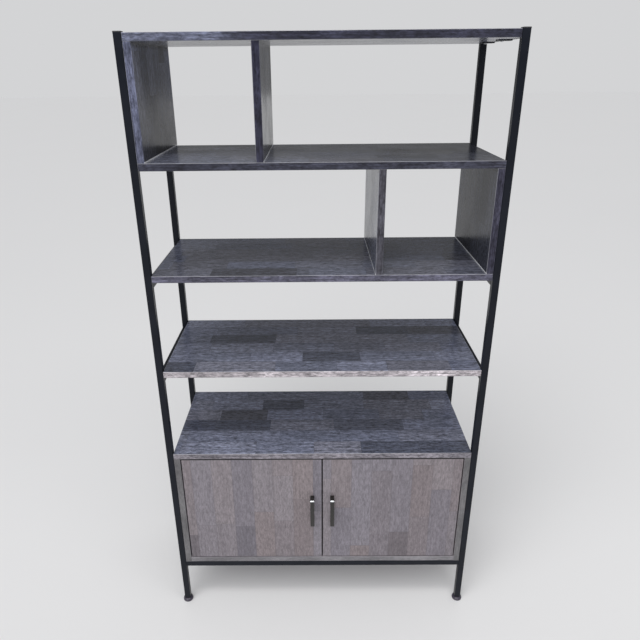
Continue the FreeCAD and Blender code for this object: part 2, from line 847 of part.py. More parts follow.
broken = [thing.Name for thing in doc.Objects if {"Invalid", "Error"} & set(thing.State)]
if broken:
    raise RuntimeError(f"failed objects: {broken}")
os.makedirs("parts", exist_ok=True)
for thing in nodes:
    shape = thing.Shape
    if shape.isNull() or not shape.isValid() or not shape.Solids:
        raise RuntimeError(f"bad shape: {thing.Label}")
for thing in nodes:
    thing.Shape.exportStep(f"parts/{thing.Label}.step")
print(len(nodes), "sub-parts,", sum(len(thing.Shape.Solids) for thing in nodes), "solids")
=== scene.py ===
import math

import bmesh
import bpy
from mathutils import Matrix, Vector


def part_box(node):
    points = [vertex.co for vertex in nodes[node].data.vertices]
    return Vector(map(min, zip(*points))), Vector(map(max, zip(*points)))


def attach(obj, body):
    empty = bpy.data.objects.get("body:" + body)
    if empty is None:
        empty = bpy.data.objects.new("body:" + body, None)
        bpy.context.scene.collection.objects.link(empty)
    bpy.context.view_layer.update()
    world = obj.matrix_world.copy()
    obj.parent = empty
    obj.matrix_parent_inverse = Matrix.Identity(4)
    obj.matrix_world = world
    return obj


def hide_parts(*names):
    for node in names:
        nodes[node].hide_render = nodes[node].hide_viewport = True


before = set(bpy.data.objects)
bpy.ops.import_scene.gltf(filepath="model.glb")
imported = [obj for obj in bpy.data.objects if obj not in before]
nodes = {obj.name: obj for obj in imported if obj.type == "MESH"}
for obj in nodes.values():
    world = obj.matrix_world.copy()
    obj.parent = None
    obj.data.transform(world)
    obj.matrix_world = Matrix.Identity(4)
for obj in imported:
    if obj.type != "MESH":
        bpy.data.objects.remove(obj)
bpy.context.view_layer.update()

sides = ("left", "right")
corners = ("front_left", "front_right", "rear_left", "rear_right")
print("frame loaded:", len(nodes), "parts")


# Shader tree helpers

def addNode(tree, kind, inputs=(), **options):
    made = tree.nodes.new(kind)
    for option, value in options.items():
        setattr(made, option, value)
    for socket, value in dict(inputs).items():
        if isinstance(value, bpy.types.NodeSocket):
            tree.links.new(value, made.inputs[socket])
        else:
            made.inputs[socket].default_value = value
    return made


def calc(tree, operation, *values):
    return addNode(tree, "ShaderNodeMath", enumerate(values), operation=operation).outputs[0]


def vectorCalc(tree, operation, *values):
    return addNode(tree, "ShaderNodeVectorMath", enumerate(values), operation=operation).outputs[0]


def ramp(tree, value, low, high, start=0.0, end=1.0):
    inputs = {0: value, 1: low, 2: high, 3: start, 4: end}
    return addNode(tree, "ShaderNodeMapRange", inputs, interpolation_type="SMOOTHSTEP").outputs[0]


def mixColour(tree, factor, first, second):
    inputs = {0: factor, 6: first, 7: second}
    return addNode(tree, "ShaderNodeMix", inputs, data_type="RGBA").outputs[2]


def shaded(tree, colour, level):
    inputs = {0: colour if isinstance(colour, bpy.types.NodeSocket) else colour[:3], "Scale": level}
    return addNode(tree, "ShaderNodeVectorMath", inputs, operation="SCALE").outputs[0]


def noise(tree, place, scale, detail=2.0, roughness=0.5, distortion=0.0):
    inputs = {"Vector": place, "Scale": scale, "Detail": detail}
    inputs |= {"Roughness": roughness, "Distortion": distortion}
    return addNode(tree, "ShaderNodeTexNoise", inputs).outputs[0]


def newGroup(label, inputs, outputs):
    tree = bpy.data.node_groups.new(label, "ShaderNodeTree")
    for name, kind in inputs.items():
        tree.interface.new_socket(name, in_out="INPUT", socket_type="NodeSocket" + kind)
    for name, kind in outputs.items():
        tree.interface.new_socket(name, in_out="OUTPUT", socket_type="NodeSocket" + kind)
    return tree, addNode(tree, "NodeGroupInput").outputs, addNode(tree, "NodeGroupOutput").inputs


def placeGroup(tree, group, inputs):
    return addNode(tree, "ShaderNodeGroup", inputs, node_tree=group).outputs


def newMaterial(label, **fixed):
    material = bpy.data.materials.new(label)
    material.use_nodes = True
    shader = material.node_tree.nodes["Principled BSDF"]
    for socket, value in fixed.items():
        shader.inputs[socket].default_value = value
    return material, material.node_tree, shader.inputs


def dress(label, material):
    for slot in nodes[label].material_slots:
        slot.material = material


# Shared effects; a wood's place runs along the grain, across the staves and through the board

staveShape = {"fingerPitch": 0.0033, "fingerDepth": 1.6, "lineHalf": 0.0008, "jitter": 61.0, "uneven": 0.85}
staveShift = (9.0, 5.0, 5.0)  # how far each stave's grain is moved, so that no two match
grainScales = {  # features per metre
    "streak": (9.0, 360.0, 360.0), "mottle": (52.0, 150.0, 150.0),
    "figure": (4.0, 42.0, 42.0), "pores": (55.0, 900.0, 900.0),
}


def staveGroup():
    tree, given, made = newGroup(
        "staves",
        {"Place": "Vector", "Breadth": "Float", "Length": "Float", "Seed": "Float"},
        {"Tone": "Float", "Hue": "Float", "Line": "Float", "Shift": "Vector"},
    )
    u, v, w = addNode(tree, "ShaderNodeSeparateXYZ", {0: given["Place"]}).outputs
    zigzag = calc(tree, "PINGPONG", w, staveShape["fingerPitch"])
    fingers = calc(tree, "MULTIPLY", zigzag, staveShape["fingerDepth"])
    along = calc(tree, "ADD", u, fingers)  # zigzag seen on the edges, straight on the faces
    across = calc(tree, "DIVIDE", v, given["Breadth"])
    row = calc(tree, "FLOOR", across)
    rowTag = calc(tree, "ADD", row, given["Seed"])
    jitter = addNode(tree, "ShaderNodeTexWhiteNoise", {"W": rowTag}, noise_dimensions="1D").outputs[0]
    lengths = calc(tree, "DIVIDE", along, given["Length"])
    run = calc(tree, "MULTIPLY_ADD", jitter, staveShape["jitter"], lengths)
    spread = {"W": run, "Scale": 1.0, "Randomness": staveShape["uneven"]}
    cell = addNode(tree, "ShaderNodeTexVoronoi", spread, voronoi_dimensions="1D")
    rim = addNode(
        tree, "ShaderNodeTexVoronoi", spread, voronoi_dimensions="1D", feature="DISTANCE_TO_EDGE"
    )
    tag = addNode(tree, "ShaderNodeCombineXYZ", {0: cell.outputs["W"], 1: row, 2: given["Seed"]}).outputs[0]
    random = addNode(tree, "ShaderNodeTexWhiteNoise", {"Vector": tag}, noise_dimensions="3D").outputs
    red, green = addNode(tree, "ShaderNodeSeparateColor", {0: random["Color"]}).outputs[:2]
    endGap = calc(tree, "MULTIPLY", rim.outputs["Distance"], given["Length"])
    part = calc(tree, "FRACT", across)
    nearer = calc(tree, "MINIMUM", part, calc(tree, "SUBTRACT", 1.0, part))
    sideGap = calc(tree, "MULTIPLY", nearer, given["Breadth"])
    line = ramp(tree, calc(tree, "MINIMUM", endGap, sideGap), 0.0, staveShape["lineHalf"], 1.0, 0.0)
    for name, value in {"Tone": red, "Hue": green, "Line": line}.items():
        tree.links.new(value, made[name])
    shift = vectorCalc(tree, "MULTIPLY", random["Color"], staveShift)
    tree.links.new(shift, made["Shift"])
    return tree


def grainGroup():
    tree, given, made = newGroup(
        "woodGrain", {"Place": "Vector", "Shift": "Vector"},
        {"Streak": "Float", "Mottle": "Float", "Figure": "Float", "Pores": "Float"},
    )
    place = vectorCalc(tree, "ADD", given["Place"], given["Shift"])
    stretched = {name: vectorCalc(tree, "MULTIPLY", place, scale) for name, scale in grainScales.items()}
    tree.links.new(noise(tree, stretched["streak"], 1.0, 3.0, 0.65), made["Streak"])
    tree.links.new(noise(tree, stretched["mottle"], 1.0, 4.0, 0.78), made["Mottle"])
    tree.links.new(noise(tree, stretched["figure"], 1.0, 4.0, 0.6, 0.8), made["Figure"])
    tree.links.new(ramp(tree, noise(tree, stretched["pores"], 1.0, 1.0), 0.58, 0.68), made["Pores"])
    return tree


def arrisGroup():
    tree, given, made = newGroup(
        "arris", {"Place": "Vector", "Half": "Vector", "Width": "Float"}, {"Arris": "Float"}
    )
    depth = vectorCalc(tree, "SUBTRACT", given["Half"], vectorCalc(tree, "ABSOLUTE", given["Place"]))
    x, y, z = addNode(tree, "ShaderNodeSeparateXYZ", {0: depth}).outputs
    low = calc(tree, "MINIMUM", x, y)
    second = calc(tree, "MAXIMUM", low, calc(tree, "MINIMUM", calc(tree, "MAXIMUM", x, y), z))
    edge = calc(tree, "DIVIDE", second, given["Width"])
    tree.links.new(ramp(tree, edge, 0.3, 1.0, 1.0, 0.0), made["Arris"])
    return tree


def smudgeGroup():
    tree, given, made = newGroup("smudges", {"Place": "Vector", "Scale": "Float"}, {"Smudge": "Float"})
    soft = noise(tree, given["Place"], given["Scale"], 3.0, 0.55)
    tree.links.new(ramp(tree, soft, 0.35, 0.7), made["Smudge"])
    return tree


staves, woodGrain, arris, smudges = staveGroup(), grainGroup(), arrisGroup(), smudgeGroup()


# Stained wood

boardFinish = {
    "breadth": 0.0663, "length": 0.20, "deep": (0.048, 0.056, 0.086, 1), "pale": (0.160, 0.170, 0.228, 1),
    "warm": (0.105, 0.092, 0.092, 1), "cool": (0.088, 0.100, 0.160, 1), "end": (0.060, 0.058, 0.070, 1),
    "arris": (0.48, 0.48, 0.52, 1), "arrisWidth": 0.0014, "polish": 0.14, "bump": 0.08,
    "streak": 0.46, "mottle": 0.72, "pores": 0.8, "contrast": 0.44, "warmth": 0.28, "darkStave": 0.62,
    "crack": (0.012, 0.011, 0.015, 1), "crackDark": 0.45, "cloudScale": 4.0, "cloud": (0.62, 1.38),
    "smudgeScale": 7.0, "smudgeRough": 0.07, "streakRough": 0.12, "bumpDepth": 0.0006,
}
doorFinish = {
    **boardFinish, "length": 0.30, "deep": (0.140, 0.122, 0.142, 1), "pale": (0.265, 0.240, 0.262, 1),
    "warm": (0.228, 0.182, 0.180, 1), "cool": (0.186, 0.176, 0.214, 1), "end": (0.035, 0.032, 0.035, 1),
    "polish": 0.36, "streak": 0.10, "mottle": 0.30, "pores": 0.36, "contrast": 0.52, "warmth": 0.50,
    "darkStave": 0.84, "arris": (0.30, 0.28, 0.31, 1), "arrisWidth": 0.0012,
}
# Painted shade: the doors' arrises are near black so the gaps round the doors read dark
doorGapShadeFinish = {**doorFinish, "arris": (0.022, 0.020, 0.022, 1), "arrisWidth": 0.0016}
woods = {  # settings, grain axis, axis across the staves, seed, colour of the long edges, set lighter or darker per board as painted light and shade
    "top_board": (boardFinish, "x", "y", 3, (0.042, 0.044, 0.074, 1)),
    "shelf_upper": (boardFinish, "x", "y", 11, (0.066, 0.069, 0.100, 1)),
    "shelf_middle": (boardFinish, "x", "y", 23, (0.165, 0.162, 0.230, 1)),
    "shelf_lower": (boardFinish, "x", "y", 37, (0.740, 0.680, 0.725, 1)),
    "side_panel_left": (boardFinish, "z", "y", 41, (0.180, 0.195, 0.290, 1)),
    "side_panel_right": (boardFinish, "z", "y", 53, (0.068, 0.067, 0.100, 1)),
    "divider_left": (boardFinish, "z", "y", 67, (0.040, 0.041, 0.072, 1)),
    "divider_right": (boardFinish, "z", "y", 71, (0.100, 0.098, 0.122, 1)),
    "cabinet_top": (boardFinish, "x", "y", 83, (0.345, 0.320, 0.366, 1)),
    "cabinet_bottom": (doorFinish, "x", "y", 97, (0.325, 0.312, 0.335, 1)),
    "cabinet_shelf": (doorFinish, "x", "y", 101, (0.190, 0.180, 0.200, 1)),
    "cabinet_side_left": (doorFinish, "z", "y", 113, (0.225, 0.219, 0.227, 1)),
    "cabinet_side_right": (doorFinish, "z", "y", 127, (0.225, 0.219, 0.227, 1)),
    # Painted shade: the doors' long edges are dark so the gaps beside them read dark
    "door_left": (doorGapShadeFinish, "z", "x", 131, (0.040, 0.036, 0.042, 1)),
    "door_right": (doorGapShadeFinish, "z", "x", 149, (0.040, 0.036, 0.042, 1)),
}
paintedLightAndShine = {  # painted light and shade: how light the colour is made at the low and the high end of the grain, per board; and the lacquer's shine
    "side_panel_left": (0.32, 1.40, 0.08), "side_panel_right": (0.36, 0.44, 0.08),
    "divider_left": (0.45, 0.70, 0.22), "divider_right": (0.80, 0.92, 0.25),
    "top_board": (0.90, 0.90, 0.5), "shelf_upper": (1.20, 0.36, 0.20), "shelf_middle": (0.82, 0.82, 0.28),
    "shelf_lower": (1.20, 1.20, 0.5), "cabinet_top": (1.36, 1.36, 0.5),
}
edgeHighlight = {"top_board": ((0.240, 0.262, 0.380, 1), -0.30, -0.16)}  # painted highlight: a paler first stretch of the front edge
# Each upright has a painted highlight, a pale line at its foot, on the face that looks this way along X
uprights = {"side_panel_left": 1.0, "side_panel_right": -1.0, "divider_left": 1.0, "divider_right": -1.0}
footHighlight = {"colour": (0.93, 0.94, 0.97, 1), "full": 0.0032, "gone": 0.0042}
paintedShadowUnderBoard = {"full": 0.004, "gone": 0.016, "level": 0.3}  # painted shadow: darker close under the board above
arrisLighting = {"towards": (-0.45, -0.25, 0.85), "turnedAway": 0.15}  # painted light and shade on the arrises: those that face up and left, towards the light, are palest


def staveColour(tree, stave, grain, finish):
    lift = calc(tree, "MULTIPLY_ADD", stave["Tone"], finish["contrast"], 0.5 - 0.5 * finish["contrast"])
    tone = calc(tree, "MULTIPLY_ADD", grain["Figure"], 0.5, calc(tree, "MULTIPLY", lift, 0.8))
    body = mixColour(tree, ramp(tree, tone, 0.1, 1.1), finish["deep"], finish["pale"])
    warmth = calc(tree, "MULTIPLY", ramp(tree, stave["Hue"], 0.5, 1.0), finish["warmth"])
    coolness = calc(tree, "MULTIPLY", ramp(tree, stave["Hue"], 0.0, 0.5, 1.0, 0.0), finish["warmth"])
    body = mixColour(tree, coolness, mixColour(tree, warmth, body, finish["warm"]), finish["cool"])
    return shaded(tree, body, ramp(tree, stave["Tone"], 0.05, 0.10, finish["darkStave"], 1.0))


def grained(tree, body, stave, grain, finish):
    streak, mottle = (
        ramp(tree, grain[name.capitalize()], 0.25, 0.75, 1 - finish[name], 1 + finish[name])
        for name in ("streak", "mottle")
    )
    body = shaded(tree, body, calc(tree, "MULTIPLY", streak, mottle))
    pores = calc(tree, "MULTIPLY", grain["Pores"], finish["pores"])
    gaps = calc(tree, "MULTIPLY", stave["Line"], finish["crackDark"])
    return mixColour(tree, calc(tree, "MAXIMUM", pores, gaps), body, finish["crack"])


# The pale arrises are partly worn edges and partly a painted highlight; except on the doors, they are made
# palest facing up and left, towards the light, as painted light and shade
def arrisWearAndHighlight(tree, place, half, normal, grain, finish):
    inputs = {"Place": place, "Half": half, "Width": finish["arrisWidth"]}
    rim = placeGroup(tree, arris, inputs)["Arris"]
    if finish is not doorGapShadeFinish:
        inputs = {0: normal, 1: arrisLighting["towards"]}
        facing = addNode(tree, "ShaderNodeVectorMath", inputs, operation="DOT_PRODUCT").outputs["Value"]
        rim = calc(tree, "MULTIPLY", rim, ramp(tree, facing, 0.1, 0.6, arrisLighting["turnedAway"], 1.0))
    return calc(tree, "MULTIPLY", rim, ramp(tree, grain["Figure"], 0.2, 0.7, 0.35, 0.8))


def woodMaterial(label):
    finish, grainAxis, acrossAxis, seed, edgeColour = woods[label]
    low, high = (Vector(corner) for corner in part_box(label))
    order = ["xyz".index(axis) for axis in (grainAxis, acrossAxis, *(set("xyz") - {grainAxis, acrossAxis}))]
    half = [((high - low) / 2)[axis] for axis in order]
    lowLight, highLight, shine = paintedLightAndShine.get(label, (1.0, 1.0, 0.5))
    material, tree, shader = newMaterial(label + "Wood", **{"Specular IOR Level": shine})
    coordinates = addNode(tree, "ShaderNodeTexCoord").outputs
    centred = vectorCalc(tree, "SUBTRACT", coordinates["Object"], (low + high) / 2)
    spots = addNode(tree, "ShaderNodeSeparateXYZ", {0: centred}).outputs
    along, across, through = (spots[axis] for axis in order)
    place = addNode(tree, "ShaderNodeCombineXYZ", {0: along, 1: across, 2: through}).outputs[0]
    facing = addNode(tree, "ShaderNodeSeparateXYZ", {0: coordinates["Normal"]}).outputs
    onEnd, onEdge = (ramp(tree, calc(tree, "ABSOLUTE", facing[axis]), 0.6, 0.8) for axis in order[:2])
    inputs = {"Place": place, "Breadth": finish["breadth"], "Length": finish["length"], "Seed": seed}
    stave = placeGroup(tree, staves, inputs)
    grain = placeGroup(tree, woodGrain, {"Place": place, "Shift": stave["Shift"]})
    smudge = placeGroup(tree, smudges, {"Place": place, "Scale": finish["smudgeScale"]})["Smudge"]

    body = staveColour(tree, stave, grain, finish)
    # Painted light and shade: the colour is made lighter or darker along the grain, as the light falls on
    # each board
    body = shaded(tree, body, ramp(tree, along, -half[0], half[0], lowLight, highLight))
    # Painted shadow: the upright is darker close under the board above
    if label in uprights:
        fromTop = calc(tree, "SUBTRACT", half[0], along)
        shadow = ramp(tree, fromTop, paintedShadowUnderBoard["full"], paintedShadowUnderBoard["gone"], paintedShadowUnderBoard["level"], 1.0)
        body = shaded(tree, body, shadow)
    # Painted highlight on the first stretch of the front edge
    if label in edgeHighlight:
        highlightTint, near, far = edgeHighlight[label]
        edgeColour = mixColour(tree, ramp(tree, along, near, far, 1.0, 0.0), edgeColour, highlightTint)
    cloud = ramp(tree, noise(tree, place, finish["cloudScale"]), 0.3, 0.7, *finish["cloud"])
    # Painted light and shade: the long edges take each board's own lighter or darker edge colour
    body = mixColour(tree, onEdge, body, shaded(tree, edgeColour, cloud))
    body = mixColour(tree, onEnd, body, finish["end"])
    body = grained(tree, body, stave, grain, finish)
    # Pale arrises: worn edges and a painted highlight
    paleMark = arrisWearAndHighlight(tree, place, half, coordinates["Normal"], grain, finish)
    body = mixColour(tree, paleMark, body, finish["arris"])
    # Painted highlight: a pale line at the upright's foot, on its inner face
    if label in uprights:
        foot = ramp(tree, calc(tree, "ADD", along, half[0]), footHighlight["full"], footHighlight["gone"], 1.0, 0.0)
        inner = ramp(tree, calc(tree, "MULTIPLY", facing[order[2]], uprights[label]), 0.6, 0.8)
        body = mixColour(tree, calc(tree, "MULTIPLY", foot, inner), body, footHighlight["colour"])
    tree.links.new(body, shader["Base Color"])

    rough = calc(tree, "MULTIPLY_ADD", smudge, finish["smudgeRough"], finish["polish"])
    rough = calc(tree, "MULTIPLY_ADD", grain["Streak"], finish["streakRough"], rough)
    tree.links.new(rough, shader["Roughness"])
    height = calc(tree, "SUBTRACT", grain["Streak"], calc(tree, "MAXIMUM", grain["Pores"], stave["Line"]))
    inputs = {"Strength": finish["bump"], "Distance": finish["bumpDepth"], "Height": height}
    tree.links.new(addNode(tree, "ShaderNodeBump", inputs).outputs[0], shader["Normal"])
    return material


for label in woods:
    dress(label, woodMaterial(label))
print("stained boards and doors")


# Plain finishes: colour, paler colour, roughness, metallic, shine, grain of the surface per metre, bump

plainFinishes = {
    "frame_paint": ((0.0050, 0.0066, 0.0115), (0.009, 0.011, 0.018), 0.30, 0.0, 0.2, 900.0, 0.10),
    "handle_paint": ((0.011, 0.010, 0.009), (0.019, 0.017, 0.015), 0.22, 0.0, 0.6, 1300.0, 0.05),
    "foot_plastic": ((0.050, 0.044, 0.064), (0.078, 0.070, 0.094), 0.17, 0.0, 0.5, 300.0, 0.03),
    "cap_plastic": ((0.014, 0.014, 0.018), (0.022, 0.022, 0.027), 0.42, 0.0, 0.5, 1100.0, 0.10),
    "zinc_steel": ((0.55, 0.56, 0.58), (0.70, 0.71, 0.72), 0.28, 1.0, 0.5, 500.0, 0.05),
    "magnet": ((0.16, 0.16, 0.165), (0.22, 0.22, 0.225), 0.40, 1.0, 0.5, 700.0, 0.08),
    "dowel_wood": ((0.42, 0.28, 0.15), (0.55, 0.39, 0.23), 0.65, 0.0, 0.5, 260.0, 0.20),
    "back_wood": ((0.075, 0.070, 0.080), (0.115, 0.105, 0.118), 0.50, 0.0, 0.5, 240.0, 0.15),
}
plainSurface = {"smudgeScale": 11.0, "smudgeColour": 0.8, "smudgeRough": 0.09, "bumpDepth": 0.0004}
bendHighlight = {  # painted highlight: bright metal on the handles' top bend, from so far down and back of its outer corner
    "finish": "handle_paint", "down": (0.0050, 0.0042), "back": (0.0025, 0.0018),
    "glint": (0.85, 0.87, 0.90, 1),
}


def plainMaterial(label):
    colour, paler, rough, metal, shine, scale, bumpiness = plainFinishes[label]
    material, tree, shader = newMaterial(label, **{"Metallic": metal, "Specular IOR Level": shine})
    place = addNode(tree, "ShaderNodeTexCoord").outputs["Object"]
    smudge = placeGroup(tree, smudges, {"Place": place, "Scale": plainSurface["smudgeScale"]})["Smudge"]
    peel = noise(tree, place, scale)
    smeared = calc(tree, "MULTIPLY", smudge, plainSurface["smudgeColour"])
    body = mixColour(tree, smeared, (*colour, 1), (*paler, 1))
    body = mixColour(tree, ramp(tree, peel, 0.4, 0.8, 0.0, 0.5), body, (*paler, 1))
    if label == bendHighlight["finish"]:
        # Painted highlight: the top bend is made bright metal
        low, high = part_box("handle_left")
        spots = addNode(tree, "ShaderNodeSeparateXYZ", {0: place}).outputs
        up = ramp(tree, spots[2], *(high[2] - down for down in bendHighlight["down"]))
        out = ramp(tree, spots[1], *(low[1] + back for back in bendHighlight["back"]))
        paleMark = calc(tree, "MULTIPLY", up, out)
        body = mixColour(tree, paleMark, body, bendHighlight["glint"])
        tree.links.new(paleMark, shader["Metallic"])
    tree.links.new(body, shader["Base Color"])
    rough = calc(tree, "MULTIPLY_ADD", smudge, plainSurface["smudgeRough"], rough)
    tree.links.new(rough, shader["Roughness"])
    inputs = {"Strength": bumpiness, "Distance": plainSurface["bumpDepth"], "Height": peel}
    tree.links.new(addNode(tree, "ShaderNodeBump", inputs).outputs[0], shader["Normal"])
    return material


finishes = {label: plainMaterial(label) for label in plainFinishes}
steelPieces = [f"foot_stud_{corner}" for corner in corners] + [
    "upright_screws", "shelf_tab_screws", "cabinet_base_screws", "cabinet_leg_screws", "catch_screws",
    "shelf_pegs", "hinge_arms", "hinge_plates", "hinge_plate_screws",
]
for side in sides:
    steelPieces += [f"hinge_cups_{side}", f"hinge_cup_screws_{side}"]
    steelPieces += [f"handle_screws_{side}", f"door_strike_{side}"]
dressed = {
    "frame_paint": [f"leg_{corner}" for corner in corners] + ["base_cross_rails", "shelf_tabs"]
    + [f"{level}_side_rails" for level in ("base", "lower", "middle", "upper", "top")],
    "handle_paint": [f"handle_{side}" for side in sides],
    "foot_plastic": [f"foot_{corner}" for corner in corners],
    "cap_plastic": ["leg_caps", "leg_inserts", "catch_housing"],
    "zinc_steel": steelPieces,
    "magnet": ["catch_magnets"],
    "dowel_wood": ["dowels"],
    "back_wood": ["cabinet_back"],
}
for finish, labels in dressed.items():
    for label in labels:
        dress(label, finishes[finish])
print("paint, plastic and metal")


# Modelling helpers

close = 1e-5  # an edge this near a plane lies in it
weld = 1e-6  # vertices this near each other are one


def alone(thing):
    bpy.ops.object.select_all(action="DESELECT")
    thing.select_set(True)
    bpy.context.view_layer.objects.active = thing


def editing(thing):
    alone(thing)
    bpy.ops.object.mode_set(mode="EDIT")
    bpy.ops.mesh.select_mode(type="VERT")
    bpy.ops.mesh.select_all(action="DESELECT")


def pick(thing, kind, test):
    mesh = bmesh.from_edit_mesh(thing.data)
    bpy.ops.mesh.select_mode(type=kind)
    bpy.ops.mesh.select_all(action="DESELECT")
    for item in {"VERT": mesh.verts, "EDGE": mesh.edges, "FACE": mesh.faces}[kind]:
        item.select_set(test(item))
    bmesh.update_edit_mesh(thing.data)


def middleOf(edge):
    return (edge.verts[0].co + edge.verts[1].co) / 2


def runsAlong(edge, axis):
    run = (edge.verts[1].co - edge.verts[0].co).normalized()
    return abs(run[axis]) > 0.99


def addBlock(label, low, high):
    bpy.ops.object.select_all(action="DESELECT")
    bpy.ops.mesh.primitive_cube_add(size=1, location=(Vector(low) + Vector(high)) / 2)
    block = bpy.context.object
    block.name = block.data.name = label
    block.scale = Vector(high) - Vector(low)
    settle(block)
    return block


def settle(thing):
    alone(thing)
    bpy.ops.object.transform_apply(location=True, rotation=True, scale=True)


def bevelled(thing, width, segments, test):
    editing(thing)
    pick(thing, "EDGE", test)
    bpy.ops.mesh.bevel(offset=width, segments=segments, affect="EDGES", profile=0.5)
    bpy.ops.object.mode_set(mode="OBJECT")


def applied(thing, kind, **options):
    alone(thing)
    modifier = thing.modifiers.new(kind.lower(), kind)
    for option, value in options.items():
        setattr(modifier, option, value)
    bpy.ops.object.modifier_apply(modifier=modifier.name)


def turned(label, profile, steps):
    # A vertex is drawn out along the profile, as (radius, height) steps, and spun round Z
    bpy.ops.object.select_all(action="DESELECT")
    bpy.ops.mesh.primitive_plane_add(size=0.001, location=(profile[0][0], 0, profile[0][1]))
    piece = bpy.context.object
    piece.name = piece.data.name = label
    settle(piece)
    editing(piece)
    bpy.ops.mesh.select_all(action="SELECT")
    bpy.ops.mesh.merge(type="CENTER")
    for (radius, height), (nextRadius, nextHeight) in zip(profile, profile[1:]):
        step = (nextRadius - radius, 0, nextHeight - height)
        bpy.ops.mesh.extrude_vertices_move(TRANSFORM_OT_translate={"value": step})
    bpy.ops.mesh.select_all(action="SELECT")
    bpy.ops.mesh.spin(steps=steps, angle=math.tau, center=(0, 0, 0), axis=(0, 0, 1))
    bpy.ops.mesh.select_all(action="SELECT")
    bpy.ops.mesh.remove_doubles(threshold=weld)
    bpy.ops.mesh.normals_make_consistent(inside=False)
    bpy.ops.object.mode_set(mode="OBJECT")
    return piece


def smoothed(thing, angle=35):
    alone(thing)
    bpy.ops.object.shade_smooth_by_angle(angle=math.radians(angle))


def copied(thing, place, turn=None):
    copy = thing.copy()
    copy.data = thing.data.copy()
    bpy.context.collection.objects.link(copy)
    copy.matrix_world = Matrix.Translation(place) @ (turn.to_4x4() if turn else Matrix())
    settle(copy)
    return copy


def joined(label, things):
    bpy.ops.object.select_all(action="DESELECT")
    for thing in things:
        thing.select_set(True)
    bpy.context.view_layer.objects.active = things[0]
    if len(things) > 1:
        bpy.ops.object.join()
    whole = bpy.context.view_layer.objects.active
    whole.name = whole.data.name = label
    return whole


def solidBoxes(label):
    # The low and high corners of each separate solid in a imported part
    source = nodes[label]
    copy = source.copy()
    copy.data = source.data.copy()
    copy.parent = None
    copy.matrix_world = Matrix()
    bpy.context.collection.objects.link(copy)
    editing(copy)
    bpy.ops.mesh.select_all(action="SELECT")
    bpy.ops.mesh.remove_doubles(threshold=weld)
    mesh = bmesh.from_edit_mesh(copy.data)
    left, boxes = set(mesh.verts), []
    while left:
        found = [left.pop()]
        for vertex in found:
            for edge in vertex.link_edges:
                other = edge.other_vert(vertex)
                if other in left:
                    left.remove(other)
                    found.append(other)
        spots = [vertex.co for vertex in found]
        low = Vector([min(spot[axis] for spot in spots) for axis in range(3)])
        boxes.append((low, Vector([max(spot[axis] for spot in spots) for axis in range(3)])))
    bpy.ops.object.mode_set(mode="OBJECT")
    bpy.data.objects.remove(copy)
    return sorted(boxes, key=lambda box: tuple(box[0]))


def placed(piece, body, slot, *replaced):
    piece.data.materials.clear()
    piece.data.materials.append(finishes[slot])
    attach(piece, body)
    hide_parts(*replaced)


# Door handles: a flat bar bent square

handleShape = {"grip": 0.007, "foot": 0.014, "bend": 0.0052, "inner": 0.0022, "soft": 0.0012}

for side in sides:
    low, high = (Vector(corner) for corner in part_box(f"handle_{side}"))
    grip, foot = handleShape["grip"], handleShape["foot"]
    inner = (low.z + foot, high.z - foot)
    handle = addBlock(f"handleBar_{side}", low, (high.x, low.y + grip, high.z))
    editing(handle)
    for height in inner:
        bpy.ops.mesh.select_all(action="SELECT")
        bpy.ops.mesh.bisect(plane_co=(0, 0, height), plane_no=(0, 0, 1))
    pick(handle, "FACE", lambda face: face.normal.y > 0.9
         and not inner[0] < face.calc_center_median().z < inner[1])
    bpy.ops.mesh.extrude_region_move(TRANSFORM_OT_translate={"value": (0, high.y - low.y - grip, 0)})
    bpy.ops.object.mode_set(mode="OBJECT")
    bevelled(handle, handleShape["bend"], 8, lambda edge: runsAlong(edge, 0)
             and middleOf(edge).y < low.y + close
             and not inner[0] - close < middleOf(edge).z < inner[1] + close)
    bevelled(handle, handleShape["inner"], 4, lambda edge: runsAlong(edge, 0)
             and abs(middleOf(edge).y - low.y - grip) < close)
    soft = {"width": handleShape["soft"], "segments": 3}
    applied(handle, "BEVEL", **soft, limit_method="ANGLE", angle_limit=math.radians(50))
    smoothed(handle)
    placed(handle, f"{side}_door", "handle_paint", f"handle_{side}")
print("handles")


# Levelling feet and their threaded studs

footShape = [  # radius and height
    (0.0, 0.0), (0.0148, 0.0), (0.0162, 0.0006), (0.0170, 0.0020), (0.0170, 0.0042),
    (0.0164, 0.0048), (0.0164, 0.0054), (0.0168, 0.0060), (0.0160, 0.0086), (0.0140, 0.0105),
    (0.0112, 0.0116), (0.0078, 0.0120), (0.0064, 0.0118), (0.0060, 0.0110), (0.0, 0.0110),
]
stud = {"pitch": 0.00125, "ridge": 0.00065, "steps": 20, "taper": 0.9}

